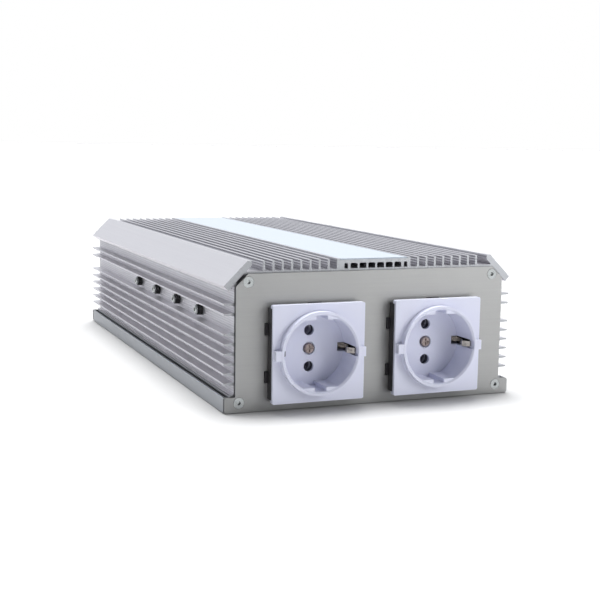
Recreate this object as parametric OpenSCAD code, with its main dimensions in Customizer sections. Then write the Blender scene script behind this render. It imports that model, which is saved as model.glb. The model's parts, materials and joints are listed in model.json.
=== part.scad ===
// Fan-cooled power inverter in a finned extruded aluminium case.
// Frame: X across, Y along (sockets face -Y, battery terminals face +Y), Z up.
// Origin: centre of the underside. All sizes in millimetres.

/* [Case] */
// Width across the outer faces of the side walls
body_w = 152; // [124:1:190]
// Length of the extruded shell and tray, without the end panels
body_l = 310; // [250:1:380]
// Height of the roof's outer face above the ground
body_h = 70.8; // [68:0.2:90]
// Thickness of the roof and the side walls
wall_t = 2.2; // [1.8:0.1:3]
// Cut of the two long upper corners, along each face
corner_cut = 6.2; // [6:0.1:8]
// Depth of the open slit between each corner and its wing
corner_slit = 0.9; // [0.6:0.1:1.1]

/* [Side fins] */
// Reach of the side fins beyond the walls
fin_reach = 5.5; // [3:0.1:9]
// Thickness of a side fin at its root
fin_root_t = 1.6; // [1.2:0.1:2.4]
// Thickness of a side fin at its tip
fin_tip_t = 0.8; // [0.6:0.1:1.2]
// Distance between neighbouring fins, on the sides and on the roof
fin_pitch = 5; // [4:0.1:8]
// Height of the lowest side fin
fin_first_z = 14.5; // [13:0.5:20]

/* [Roof] */
// Height of the roof fins, the duct block and the wings above the roof
roof_fin_h = 5.2; // [3:0.1:8]
// Thickness of a roof fin
roof_fin_t = 1.3; // [1:0.1:2]
// Depth of the fine grooves along the roof fins
ripple_d = 0.2; // [0.1:0.05:0.3]
// Number of grooves on each face of a roof fin
ripple_n = 3; // [2:1:4]
// Width of the duct block in the middle of the roof
duct_w = 42; // [32:1:60]
// Width of a duct in that block
duct_hole_w = 4; // [3:0.1:4.2]
// Height of a duct
duct_hole_h = 2.8; // [2.2:0.1:3.2]
// Shift of the row of ducts towards the right
duct_shift = 1.2; // [0:0.1:1.4]
// Width of the blank plate on the block
plate_w = 38; // [20:1:40]
// Thickness of the blank plate
plate_t = 0.6; // [0.4:0.1:1]

/* [Wings] */
// Thickness of the slanted wings along both sides
wing_t = 3.3; // [2.4:0.1:4]

/* [Base tray] */
// Thickness of the tray's floor
floor_t = 2.5; // [2:0.1:4]
// Height of the tray's side rails, where the shell sits
rail_h = 8; // [7.8:0.1:11]
// Width of the slot that opens upwards in each rail
rail_slot_w = 2; // [1.6:0.1:2.4]
// Depth of that slot
rail_slot_d = 6; // [3:0.1:6.5]
// Thickness of the outer lip of each rail
rail_lip_t = 1.1; // [0.9:0.1:1.6]
// Reach of each rail's solid inner part into the case, from the wall's outer face
rail_in = 5.5; // [5:0.1:8]

/* [End panels] */
// Thickness of the front and rear panels
panel_t = 2; // [1.5:0.1:3]
// Distance from the panel's top edge up to the roof's outer face
panel_drop = 1; // [0.5:0.1:2]
// Gap between the panel's sides and the wall's outer face
panel_inset = 0.2; // [0.1:0.05:0.6]

/* [Screws] */
// Radius of an M3 screw's shank
m3_r = 1.5; // [1.5:0.1:2]
// Radius of a countersunk or pan head
m3_head_r = 2.8; // [2.6:0.1:2.9]
// Radial clearance of a screw in its threaded hole
thread_gap = 0.05; // [0.02:0.01:0.1]
// Radial clearance of a screw in a through hole
hole_gap = 0.2; // [0.1:0.05:0.4]
// Length of the panel screws
panel_screw_l = 12; // [8:1:20]
// Distance of the upper panel screws below the roof's outer face
upper_screw_drop = 5.1; // [4.8:0.1:5.6]
// Distance of the upper panel screws inside the wall's outer face
upper_screw_in = 6.7; // [6.6:0.1:8]
// Height of the lower panel screws
lower_screw_z = 5; // [4.6:0.1:5.4]
// Distance of the lower panel screws inside the wall's outer face
lower_screw_in = 2.1; // [1.6:0.1:2.4]

/* [Sockets] */
// Side of the square cover plate
cover_w = 50; // [48:1:56]
// Gap between the two cover plates
cover_gap = 17.4; // [8:0.2:24]
// Height of the socket centres
socket_z = 29.5; // [28:0.5:40]
// Thickness of the cover plate at its edge
cover_t = 3.5; // [2.5:0.1:5]
// Thickness of the support frame between cover and panel
frame_t = 3.5; // [2:0.1:5]
// Radius of the well that takes the plug
well_r = 19.5; // [19:0.1:20.2]
// Depth of the well from the rim to its floor
well_d = 17.5; // [17:0.1:19]
// Height of the round rim above the cover plate
rim_h = 3.6; // [2:0.1:5]
// Wall of the well
well_wall = 1.8; // [1.5:0.1:2]
// Distance from the centre to the flats at the top and bottom of the well
well_flat = 17.2; // [16.6:0.1:18]
// Width of the keyway in the middle of each flat
key_w = 6.4; // [5:0.1:8]
// Distance from the centre to each pin hole
pin_offset = 9.5; // [9.3:0.1:9.7]
// Radius of the pin holes
pin_hole_r = 2.7; // [2.5:0.05:3]
// Width of the slots that the earth clip comes through
earth_slot_w = 4.6; // [4.2:0.1:6]
// Width of the earth clip
earth_clip_w = 2.8; // [2.4:0.1:3.6]
// Thickness of the earth clip
earth_clip_t = 0.8; // [0.6:0.1:1]
// Depth of the insert behind the well
insert_d = 17; // [14:0.5:22]
// General clearance between pieces that slide together
fit_gap = 0.2; // [0.1:0.05:0.3]

/* [Heat bars] */
// Height of the screws in the sides
bar_screw_z = 44.5; // [38:0.5:46]
// Distance of the first side screw behind the shell's front end
bar_screw_y = 54.5; // [40:0.5:70]
// Distance between the side screws
bar_screw_pitch = 43.75; // [36:0.25:45]
// Number of side screws on each side
bar_screw_n = 4; // [3:1:4]
// Thickness of the black washers under the side screws
washer_t = 2.6; // [1:0.1:3]
// Radius of those washers
washer_r = 2.9; // [2.8:0.1:3.4]
// Thickness of the aluminium bars inside the side walls
bar_t = 6; // [5:0.5:8]
// Height of the lower edge of the bars
bar_z = 14; // [13:0.5:16]
// Height of the bars
bar_h = 38; // [34:0.5:40]

/* [Fan] */
// Side of the square fan
fan_w = 60; // [50:1:60]
// Depth of the fan
fan_d = 15; // [12:1:20]
// Distance between the fan's screw holes
fan_hole_pitch = 50; // [42:1:52]
// Radius of the fan's blades
blade_r = 27.2; // [22:0.1:27.4]
// Number of blades
blade_n = 7; // [5:1:9]

/* [Battery terminals] */
// Radius of the terminal studs
stud_r = 3; // [2.5:0.5:4]
// Distance between the two terminals
terminal_pitch = 24; // [22:0.5:26]
// Height of the terminals
terminal_z = 26; // [25:0.5:30]
// Side of each terminal's insulating base
terminal_w = 20; // [18:0.5:21]

/* [Circuit board] */
// Thickness of the board
board_t = 1.6; // [1:0.2:2.4]
// Height of the board's underside
board_z = 8; // [7:0.5:10]
// Free space between the board and the front end of the shell
board_front = 37; // [35:1:45]
// Free space between the board and the rear end of the shell
board_rear = 27; // [25:1:35]

/* [Hidden] */
$fn = 48;

half_w = body_w / 2;
side_x = half_w + fin_reach;            // outermost point of fins, wings and rails
top_z = body_h + roof_fin_h;            // top of fins, block and wings
shell_y = body_l / 2;                   // ends of the extrusions
panel_y = shell_y + panel_t;            // outer faces of the end panels
corner_sum = half_w + body_h - corner_cut;  // x + z along a cut corner
wing_sum = corner_sum + wing_t * sqrt(2);   // x + z along a wing's outer face
wing_leg = wing_t / sqrt(2);
wing_lip_x = wing_sum - top_z - wing_leg;
ledge_x = side_x - rail_lip_t - rail_slot_w;
upper_screw = [half_w - upper_screw_in, body_h - upper_screw_drop];
lower_screw = [half_w - lower_screw_in, lower_screw_z];
port_r = 3.4;
sink = 0.4;                             // how far a fin or block is rooted in its wall
fin_ease = 0.25;                        // rounding of fin tips and panel corners
foot_h = 1.2;                           // thickness of the foot along the shell's lower edges
head_depth = 1.5;                       // countersunk heads: depth, cone and play around the head
cone_h = 1.3;
seat_gap = 0.1;
hex_key_r = 1.15;
screw_corners = [for (s = [-1, 1]) each [[s * upper_screw.x, upper_screw.y], [s * lower_screw.x, lower_screw.y]]];

under_wing_gap = 9;                     // free wall between the top side fin and the wing
side_fin_z = [for (z = [fin_first_z : fin_pitch : corner_sum - half_w - under_wing_gap])
    if (abs(z - bar_screw_z) > fin_pitch * 0.7) z];
duct_fin_gap = 4.5;                     // from the duct block to the first roof fin's middle
lip_fin_gap = 5;                        // from a wing's lip to the last roof fin's middle
roof_fin_x = [for (x = [duct_w / 2 + duct_fin_gap : fin_pitch : wing_lip_x - lip_fin_gap]) x];
ripple_bottom = 0.9;                    // plain height at the foot of a roof fin, and at its tip
ripple_top = 0.6;
plate_drop = 0.1;                       // the plate's face lies this much below the block's rim

cover_front = frame_t + cover_t;        // cover plate's face in front of the panel
rim_front = cover_front + rim_h;
rim_ease = 0.9;                         // chamfer around the mouth of the well
well_floor = rim_front - well_d;
cup_back = well_floor - well_wall;      // rear face of the well's floor
cup_r = well_r + well_wall;
frame_bore_r = cup_r + fit_gap;
frame_box = 2 * (frame_bore_r + 1.1);   // part of the frame that goes through the panel
frame_flange = cover_w - 2.6;
opening_w = frame_box + 2 * fit_gap;
lug_reach = frame_flange / 2 + 3;
lug_z = 12.2;
lug_h = 5.8;
top_lug_w = 7;
top_lug_reach = lug_reach - 2;
insert_back = cup_back - insert_d;
contact_r = 3.1;
contact_back = insert_back + 4;
contact_front = cup_back - 3.5;
clip_back = cup_back - 2.2;             // rear face of the earth clip
clip_arm = well_r + 1.5;                // outer face of the clip's arms
clip_eye_r = 3.2;                       // round middle of the clip, under the screw
clip_tail = 14;                         // where the earth lead meets the clip
socket_x = (cover_w + cover_gap) / 2;
lead_hole_r = 1.5;

bar_screw_ys = [for (i = [0 : bar_screw_n - 1]) -shell_y + bar_screw_y + i * bar_screw_pitch];
bar_end = 12;                           // bar beyond its first and last screw
bar_x = half_w - wall_t - bar_t;        // inner face of a heat bar
transistor_ys = [for (i = [0 : bar_screw_n - 2], k = [1, 2]) bar_screw_ys[i] + k * bar_screw_pitch / 3];
bar_head_r = 2.4;
bar_head_h = 1.4;
bar_head_dome = 0.6;
tab_hole_z = 34.7;
tab_t = 1.3;

board_half = half_w - 8;
board_top = board_z + board_t;
board_y0 = -shell_y + board_front;
board_y1 = shell_y - board_rear;
screw_edge = 6;                         // board screws from the board's ends
standoff_x = board_half - 20;
front_standoff_x = socket_x + 14.3;     // the front pair keeps clear of the sockets' leads
standoffs = [for (s = [-1, 1]) each [[s * front_standoff_x, board_y0 + screw_edge],
    [s * standoff_x, (board_y0 + board_y1) / 2], [s * standoff_x, board_y1 - screw_edge]]];
standoff_r = 3.4;
fan_side_gap = 8.5;                     // keeps the fan clear of the corner's screw port
fan_x = half_w - wall_t - fan_w / 2 - fan_side_gap;
fan_z = floor_t + fan_w / 2 + 2.5;
fan_back = -panel_t - fan_d;            // inner face of the fan, seen from the rear panel's face
fan_bore_r = blade_r + 0.6;
hub_r = 14.5;
shaft_r = 1.5;
terminal_x = half_w - wall_t - 14;      // distance of the outer terminal from the middle
terminal_xs = [-terminal_x, -terminal_x + terminal_pitch];
base_t = 5;
boss_h = 4;
stud_flange = 3;
stud_out = 25;
nut_t = 5;
undercut = 1;                           // neck between a nut and the stud's free end
stud_tip = 1;                           // chamfer at the free end
bush_in = 6;                            // insulating bush behind the panel's outer face
bush_t = 3;
lug_t = 1.6;
switch_x = -terminal_x + terminal_pitch / 2;
switch_z = terminal_z + 27;
switch_w = 13;                          // body of the switch, and its length along Z
switch_l = 19;
switch_tilt = 10;
pivot_w = -1.5;                         // rocker's pivot behind the panel's outer face
rocker_l = 15.8;
rocker_w = 10.8;
pivot_r = 1;
earth_z = 9.5;
earth_r = 2.5;
earth_nut_t = 4;
earth_out = 15;
lens_x = switch_x + 20;
lens_r = 2.4;
lens_up = 5;                            // lenses above and below the switch's middle
earth_head_t = 3.5;

// ---- helpers ----------------------------------------------------------

// Draws a profile of the XZ plane along the whole extrusion, and past its ends for a cut
module extruded(past = 0) {
    translate([0, shell_y + past, 0]) rotate([90, 0, 0]) linear_extrude(body_l + 2 * past) children();
}

module both_sides() {
    children();
    mirror([1, 0, 0]) children();
}

// Frame on a panel's outer face: +Z outwards, +Y up
module on_front(x, z) {
    translate([x, -panel_y, z]) rotate([90, 0, 0]) children();
}

module on_rear(x, z) {
    translate([x, panel_y, z]) rotate([90, 0, 180]) children();
}

// Frame on the right wall's outer face: +Z outwards, +Y along the case
module on_wall(y, z) {
    translate([half_w, y, z]) rotate([0, 90, 0]) children();
}

// The right half's outline followed by its mirror image, as one outline
function both_halves(right) = concat(right, [for (i = [len(right) - 1 : -1 : 0]) [-right[i].x, right[i].y]]);

module rounded_square(w, h, r) {
    square([w - 2 * r, h], center = true);
    square([w, h - 2 * r], center = true);
    for (sx = [-1, 1], sy = [-1, 1]) translate([sx * (w / 2 - r), sy * (h / 2 - r)]) circle(r);
}

module hole(r, from, to) {
    translate([0, 0, from]) cylinder(r = r, h = to - from);
}

// Smooth path through hand-chosen points
function spline(p, a, b, c, d, t) =
    0.5 * (2 * b + (c - a) * t + (2 * a - 5 * b + 4 * c - d) * t * t + (3 * b - a - 3 * c + d) * t * t * t);
function smooth(p, steps) = let (n = len(p) - 1) concat(
    [for (i = [0 : n - 1], k = [0 : steps - 1])
        spline(p, p[max(i - 1, 0)], p[i], p[i + 1], p[min(i + 2, n)], k / steps)],
    [p[n]]);
function unit(v) = v / norm(v);

// Round lead along a route that stays in a plane across X
module lead(route, r, sides = 10, steps = 4) {
    p = smooth(route, steps);
    n = len(p) - 1;
    tangent = [for (i = [0 : n]) unit(p[min(i + 1, n)] - p[max(i - 1, 0)])];
    rings = [for (i = [0 : n], k = [0 : sides - 1])
        let (u = unit(cross(tangent[i], [1, 0, 0])), v = cross(tangent[i], u), a = 360 * k / sides)
        p[i] + r * (cos(a) * u + sin(a) * v)];
    walls = [for (i = [0 : n - 1], k = [0 : sides - 1])
        let (m = (k + 1) % sides)
        [i * sides + k, (i + 1) * sides + k, (i + 1) * sides + m, i * sides + m]];
    first = [for (k = [0 : sides - 1]) k];
    last = [for (k = [0 : sides - 1]) (n + 1) * sides - 1 - k];
    polyhedron(rings, concat([first], walls, [last]));
}

module hex(r, h) {
    cylinder(r = r, h = h, $fn = 6);
}

// ---- case -------------------------------------------------------------

module side_fin_profile(z) {
    half_root = fin_root_t / 2;
    half_tip = fin_tip_t / 2;
    polygon([[half_w - sink, z - half_root], [side_x - fin_ease, z - half_tip], [side_x, z - half_tip + fin_ease],
        [side_x, z + half_tip - fin_ease], [side_x - fin_ease, z + half_tip], [half_w - sink, z + half_root]]);
}

// A roof fin's outline runs up one face and down the other, with V grooves on both
module roof_fin_profile(x) {
    half_t = roof_fin_t / 2;
    step = (roof_fin_h - ripple_bottom - ripple_top) / ripple_n;
    face = [for (i = [0 : ripple_n - 1]) each [
        [half_t, body_h + ripple_bottom + i * step],
        [half_t - ripple_d, body_h + ripple_bottom + (i + 0.5) * step],
        [half_t, body_h + ripple_bottom + (i + 1) * step]]];
    tip = [[half_t, top_z - fin_ease], [half_t - fin_ease, top_z]];
    translate([x, 0]) polygon(both_halves(concat([[half_t, body_h - sink]], face, tip)));
}

module wing_profile() {
    tip_z = wing_sum - side_x;
    polygon([[side_x, tip_z], [side_x - wing_leg, tip_z - wing_leg], [wing_lip_x, corner_sum - wing_lip_x],
        [wing_lip_x, top_z], [wing_sum - top_z, top_z]]);
}

// Walls and roof, with a small foot along each lower edge
module shell_wall_profile() {
    port_sum = upper_screw.x + upper_screw.y;
    roof_in = body_h - wall_t;
    wall_in = half_w - wall_t;
    foot_x = ledge_x - 0.3;
    difference() {
        polygon(both_halves([[foot_x, rail_h], [foot_x, rail_h + foot_h], [half_w, rail_h + foot_h],
            [half_w, corner_sum - half_w], [corner_sum - body_h, body_h]]));
        polygon(both_halves([[wall_in, rail_h - 1], [wall_in, port_sum - wall_in], [port_sum - roof_in, roof_in]]));
    }
}

// Round port that takes an upper panel screw
module port_profile() {
    intersection() {
        translate(upper_screw) circle(port_r);
        square([corner_sum - upper_screw.y - corner_slit * sqrt(2), body_h]);
    }
}

module duct_profile() {
    slot_w = plate_w + 2 * fit_gap;
    difference() {
        translate([-duct_w / 2, body_h - sink]) square([duct_w, roof_fin_h + sink]);
        translate([-slot_w / 2, top_z - plate_t - plate_drop]) square([slot_w, plate_t + 1]);
        for (i = [-2.5 : 2.5]) translate([duct_shift + i * fin_pitch, body_h]) duct_hole(duct_hole_w);
        for (s = [-1, 1]) translate([duct_shift + s * 3.4 * fin_pitch, body_h]) duct_hole(duct_hole_w / 2);
    }
}

module duct_hole(w) {
    r = min(0.8, w * 0.4);
    translate([-w / 2, 0]) square([w, duct_hole_h - r]);
    translate([-w / 2 + r, 0]) square([w - 2 * r, duct_hole_h]);
    for (s = [-1, 1]) translate([s * (w / 2 - r), duct_hole_h - r]) circle(r);
}

// Open slit along the inner face of a wing, beside the panel's cut corner
module slit_profile() {
    depth = corner_slit / sqrt(2);
    low_end = 0.9;
    high_end = 1.2;
    from = [half_w - low_end, corner_sum - half_w + low_end];
    to = [corner_sum - body_h + high_end, body_h - high_end];
    polygon([from, to, to - [depth, depth], from - [depth, depth]]);
}

module heat_sink_shell() {
    color([0.72, 0.72, 0.75]) difference() {
        union() {
            extruded() shell_wall_profile();
            extruded() duct_profile();
            both_sides() {
                extruded() wing_profile();
                extruded() port_profile();
                for (z = side_fin_z) extruded() side_fin_profile(z);
                for (x = roof_fin_x) extruded() roof_fin_profile(x);
            }
        }
        both_sides() {
            extruded(1) slit_profile();
            extruded(1) translate(upper_screw) circle(m3_r + thread_gap);
            for (y = bar_screw_ys) on_wall(y, bar_screw_z) hole(m3_r + hole_gap, -wall_t - 1, 1);
        }
    }
}

module base_tray() {
    color([0.62, 0.64, 0.67]) difference() {
        extruded() polygon(both_halves([[side_x, 0], [side_x, rail_h], [half_w - rail_in, rail_h],
            [half_w - rail_in, floor_t]]));
        both_sides() extruded(1) {
            translate([ledge_x, rail_h - rail_slot_d]) square([rail_slot_w, rail_slot_d + 1]);
            translate(lower_screw) circle(m3_r + thread_gap);
        }
    }
}

module roof_plate() {
    color([0.86, 0.9, 0.97]) translate([-plate_w / 2, -shell_y, top_z - plate_t - plate_drop])
        cube([plate_w, body_l, plate_t]);
}

module panel_profile() {
    w = half_w - panel_inset;
    top = body_h - panel_drop;
    sum = corner_sum - corner_slit * sqrt(2);
    ease = 0.6;
    polygon(both_halves([[side_x - ease, 0], [side_x, ease], [side_x, rail_h - ease],
        [side_x - ease, rail_h], [w, rail_h], [w, sum - w], [sum - top, top]]));
}

// Plate with its outer face at Z = 0, holes for the four screws included
module panel_blank() {
    difference() {
        translate([0, 0, -panel_t]) linear_extrude(panel_t) panel_profile();
        for (p = screw_corners) translate(p) {
            hole(m3_r + hole_gap, -panel_t - 1, 1);
            translate([0, 0, -head_depth]) cylinder(r1 = m3_r + seat_gap, r2 = m3_head_r + seat_gap, h = cone_h);
            hole(m3_head_r + seat_gap, cone_h - head_depth, 1);
        }
    }
}

module socket_opening() {
    rounded_square(opening_w, opening_w, 3);
    both_sides() for (s = [-1, 1]) translate([0, s * lug_z - lug_h / 2 - fit_gap])
        square([lug_reach + fit_gap, lug_h + 2 * fit_gap]);
    square([top_lug_w + 2 * fit_gap, 2 * (top_lug_reach + fit_gap)], center = true);
}

module front_panel() {
    color([0.66, 0.66, 0.66]) on_front(0, 0) difference() {
        panel_blank();
        for (x = [-socket_x, socket_x]) translate([x, socket_z, -panel_t - 1])
            linear_extrude(panel_t + 2) socket_opening();
    }
}

// Seen from behind, X runs the other way
module rear_panel() {
    color([0.66, 0.66, 0.66]) on_rear(0, 0) difference() {
        panel_blank();
        translate([-fan_x, fan_z]) {
            hole(fan_bore_r, -panel_t - 1, 1);
            fan_holes() hole(2.2, -panel_t - 1, 1);
        }
        for (x = terminal_xs) translate([-x, terminal_z]) hole(stud_r + bush_t + fit_gap, -panel_t - 1, 1);
        translate([-switch_x, switch_z, -panel_t - 1]) linear_extrude(panel_t + 2)
            square([switch_w + 2 * fit_gap, switch_l + 2 * fit_gap], center = true);
        translate([-switch_x, earth_z]) hole(earth_r + fit_gap, -panel_t - 1, 1);
        for (z = [-lens_up, lens_up]) translate([-lens_x, switch_z + z]) hole(lens_r + fit_gap, -panel_t - 1, 1);
    }
}

module countersunk_screw(l) {
    difference() {
        union() {
            hole(m3_r, -l, -cone_h);
            translate([0, 0, -head_depth]) cylinder(r1 = m3_r, r2 = m3_head_r, h = cone_h);
            hole(m3_head_r, cone_h - head_depth, 0.05);
        }
        translate([0, 0, -1.1]) hex(hex_key_r, 2);
    }
}

module panel_screws() {
    color([0.8, 0.8, 0.82]) for (p = screw_corners) {
        on_front(p.x, p.y) countersunk_screw(panel_screw_l);
        on_rear(p.x, p.y) countersunk_screw(panel_screw_l);
    }
}

// ---- sockets ----------------------------------------------------------
// Drawn about the socket's centre, with Z = 0 on the panel's outer face

module well_profile() {
    intersection() {
        circle(well_r);
        union() {
            square([2 * well_r, 2 * well_flat], center = true);
            square([key_w, 2 * well_r], center = true);
        }
    }
}

module socket_cover() {
    bar_h = rim_h - 0.2;
    bar_w = 5;
    slot_x = well_r - 3.5;              // inner end of a clip slot
    slot_shallow = 1.1;                 // how far the slot's outer part goes into the plate
    difference() {
        union() {
            translate([0, 0, frame_t]) linear_extrude(cover_t) rounded_square(cover_w, cover_w, 1);
            hole(cup_r, cup_back, cover_front + 0.1);
            hole(cup_r + 0.2, cover_front, rim_front);
            translate([0, 0, cover_front]) linear_extrude(bar_h) square([cover_w - 1, bar_w], center = true);
        }
        translate([0, 0, well_floor]) linear_extrude(well_d + 1) well_profile();
        for (s = [-1, 1]) translate([0, s * pin_offset]) hole(pin_hole_r, cup_back - 1, well_floor + 1);
        hole(m3_head_r + 0.6, well_floor - 0.9, well_floor + 1);
        hole(m3_r + hole_gap, cup_back - 1, well_floor);
        translate([0, 0, rim_front - rim_ease]) cylinder(r1 = well_r, r2 = well_r + rim_ease, h = rim_ease + 0.01);
        both_sides() {
            translate([slot_x, -earth_slot_w / 2, cup_back - 1])
                cube([cup_r + 0.1 - slot_x, earth_slot_w, cover_front - cup_back]);
            translate([slot_x, -earth_slot_w / 2, cover_front - slot_shallow])
                cube([well_r + 1 - slot_x, earth_slot_w, rim_h + 0.8]);
        }
    }
}

module socket_frame() {
    depth = 12;
    lug_t = panel_t + 0.8;              // lugs fill the panel's openings and stand a little proud
    difference() {
        union() {
            linear_extrude(frame_t) rounded_square(frame_flange, frame_flange, 2);
            translate([0, 0, -depth]) linear_extrude(depth + 0.1) rounded_square(frame_box, frame_box, 3);
            both_sides() for (s = [-1, 1]) translate([0, s * lug_z - lug_h / 2, -panel_t])
                cube([lug_reach, lug_h, lug_t]);
            translate([0, 0, lug_t / 2 - panel_t]) cube([top_lug_w, 2 * top_lug_reach, lug_t], center = true);
        }
        hole(frame_bore_r, -depth - 1, frame_t + 1);
    }
}

module socket_insert() {
    channel_h = earth_clip_w + 2 * fit_gap;
    difference() {
        hole(cup_r - 0.5, insert_back, cup_back);
        for (s = [-1, 1]) translate([0, s * pin_offset]) {
            hole(contact_r + 0.1, contact_back, cup_back + 1);
            hole(lead_hole_r, insert_back - 1, contact_back + 1);
        }
        translate([0, 0, clip_back]) linear_extrude(cup_back - clip_back + 1)
            square([2 * (clip_arm + fit_gap), channel_h], center = true);
        hole(clip_eye_r + fit_gap, clip_back, cup_back + 1);
        hole(m3_r + thread_gap, cup_back - 12, cup_back);
        translate([clip_tail, 0]) hole(lead_hole_r, insert_back - 1, clip_back + 1);
    }
}

// One strap: flat behind the well, its two arms rise through the slots and bow inwards
module earth_clip() {
    t = earth_clip_t;
    bend = well_floor + 5;
    crown = well_floor + 9.6;
    tip = well_floor + 13.4;
    bow = clip_arm - 3.4;               // the arm's outer face at the crown
    arm = [[clip_arm, clip_back], [clip_arm, bend], [bow, crown - 0.6], [bow, crown + 0.6], [clip_arm - 0.6, tip],
        [clip_arm - 0.6 - t, tip + 0.2], [bow - t, crown + 0.8], [bow - t, crown - 0.8], [clip_arm - t, bend - 0.3],
        [clip_arm - t, clip_back + t]];
    difference() {
        union() {
            rotate([90, 0, 0]) linear_extrude(earth_clip_w, center = true) polygon(both_halves(arm));
            hole(clip_eye_r, clip_back, clip_back + t);
        }
        hole(m3_r + hole_gap, clip_back - 1, clip_back + t + 1);
    }
}

// Split brass sleeve that grips one plug pin
module pin_contact() {
    difference() {
        hole(contact_r, contact_back, contact_front);
        hole(contact_r - 0.65, contact_back + 1.5, contact_front + 1);
        translate([0, 0, contact_front - 3]) cube([1, 2 * contact_r + 1, 7], center = true);
    }
}

module socket_screw() {
    rim = well_floor + 0.3;
    dome = 0.5;
    difference() {
        union() {
            hole(m3_r, cup_back - 10, well_floor - 0.8);
            hole(m3_head_r, well_floor - 0.9, rim);
            translate([0, 0, rim]) cylinder(r1 = m3_head_r, r2 = m3_head_r - dome, h = dome);
        }
        for (a = [0, 90]) rotate([0, 0, a]) translate([0, 0, rim + dome]) cube([3.6, 0.8, 1.6], center = true);
    }
}

module left_socket_cover() { color([0.9, 0.91, 0.96]) on_front(-socket_x, socket_z) socket_cover(); }
module right_socket_cover() { color([0.9, 0.91, 0.96]) on_front(socket_x, socket_z) socket_cover(); }
module left_socket_frame() { color([0.12, 0.11, 0.13]) on_front(-socket_x, socket_z) socket_frame(); }
module right_socket_frame() { color([0.12, 0.11, 0.13]) on_front(socket_x, socket_z) socket_frame(); }
module left_socket_insert() { color([0.2, 0.2, 0.21]) on_front(-socket_x, socket_z) socket_insert(); }
module right_socket_insert() {
    color([0.2, 0.2, 0.21]) mirror([1, 0, 0]) on_front(-socket_x, socket_z) socket_insert();
}
module left_earth_clip() { color([0.75, 0.72, 0.64]) on_front(-socket_x, socket_z) earth_clip(); }
module right_earth_clip() { color([0.75, 0.72, 0.64]) on_front(socket_x, socket_z) earth_clip(); }
module left_live_contact() { color([0.8, 0.65, 0.3]) on_front(-socket_x, socket_z + pin_offset) pin_contact(); }
module right_live_contact() { color([0.8, 0.65, 0.3]) on_front(socket_x, socket_z + pin_offset) pin_contact(); }
module left_neutral_contact() { color([0.8, 0.65, 0.3]) on_front(-socket_x, socket_z - pin_offset) pin_contact(); }
module right_neutral_contact() { color([0.8, 0.65, 0.3]) on_front(socket_x, socket_z - pin_offset) pin_contact(); }
module left_socket_screw() { color([0.75, 0.62, 0.5]) on_front(-socket_x, socket_z) socket_screw(); }
module right_socket_screw() { color([0.75, 0.62, 0.5]) on_front(socket_x, socket_z) socket_screw(); }

// ---- heat bars and transistors ----------------------------------------

module heat_bar() {
    first = bar_screw_ys[0] - bar_end;
    last = bar_screw_ys[bar_screw_n - 1] + bar_end;
    difference() {
        translate([bar_x, first, bar_z]) cube([bar_t, last - first, bar_h]);
        for (y = bar_screw_ys) on_wall(y, bar_screw_z) hole(m3_r + thread_gap, -wall_t - bar_t - 1, 0);
        for (y = transistor_ys) on_wall(y, tab_hole_z) hole(m3_r + thread_gap, -wall_t - bar_t - 1, 0);
    }
}

module left_heat_bar() { color([0.7, 0.7, 0.72]) mirror([1, 0, 0]) heat_bar(); }
module right_heat_bar() { color([0.7, 0.7, 0.72]) heat_bar(); }

module bar_screws() {
    color([0.75, 0.75, 0.78]) both_sides() for (y = bar_screw_ys) on_wall(y, bar_screw_z) difference() {
        union() {
            hole(m3_r, -wall_t - bar_t + 0.6, washer_t + 0.1);
            hole(bar_head_r, washer_t, washer_t + bar_head_h - bar_head_dome);
            translate([0, 0, washer_t + bar_head_h - bar_head_dome])
                cylinder(r1 = bar_head_r, r2 = bar_head_r - bar_head_dome, h = bar_head_dome);
        }
        translate([0, 0, washer_t + 0.5]) hex(hex_key_r, 2);
    }
}

module bar_washers() {
    color([0.1, 0.1, 0.1]) both_sides() for (y = bar_screw_ys) on_wall(y, bar_screw_z) difference() {
        hole(washer_r, 0, washer_t);
        hole(m3_r + hole_gap, -1, washer_t + 1);
    }
}

// Power transistor: moulded body, metal tab and three leads down to the board
module transistor(y) {
    body = [4.5, 10, 9];
    tab = [tab_t, 10, 7.5];
    leg = [0.6, 0.8];
    leg_pitch = 2.54;
    low = tab_hole_z - 12.7;
    translate([0, y, 0]) difference() {
        union() {
            translate([bar_x - body.x, -body.y / 2, low]) cube(body);
            translate([bar_x - tab.x, -tab.y / 2, low + body.z - 1]) cube(tab);
            for (k = [-1, 0, 1]) translate([bar_x - 2.8, k * leg_pitch - leg.y / 2, board_top])
                cube([leg.x, leg.y, low - board_top + 0.5]);
        }
        translate([bar_x - tab.x - 1, 0, tab_hole_z]) rotate([0, 90, 0]) cylinder(r = m3_r + hole_gap, h = tab.x + 2);
    }
}

module left_transistors() { color([0.13, 0.13, 0.14]) mirror([1, 0, 0]) for (y = transistor_ys) transistor(y); }
module right_transistors() { color([0.13, 0.13, 0.14]) for (y = transistor_ys) transistor(y); }

module transistor_screws() {
    color([0.75, 0.75, 0.78]) both_sides() for (y = transistor_ys) on_wall(y, tab_hole_z)
        translate([0, 0, -wall_t - bar_t - tab_t]) rotate([180, 0, 0]) {
            hole(m3_r, -6, 0.1);
            hole(m3_head_r - 0.1, 0, 2);
        }
}

// ---- circuit board ----------------------------------------------------

module main_board() {
    color([0.1, 0.35, 0.2]) difference() {
        translate([-board_half, board_y0, board_z]) cube([2 * board_half, board_y1 - board_y0, board_t]);
        for (p = standoffs) translate(p) hole(m3_r + hole_gap, board_z - 1, board_top + 1);
    }
}

module board_standoffs() {
    color([0.8, 0.7, 0.4]) for (p = standoffs) translate(p) difference() {
        translate([0, 0, floor_t]) hex(standoff_r, board_z - floor_t);
        hole(m3_r + thread_gap, floor_t + 0.5, board_z + 1);
    }
}

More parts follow.
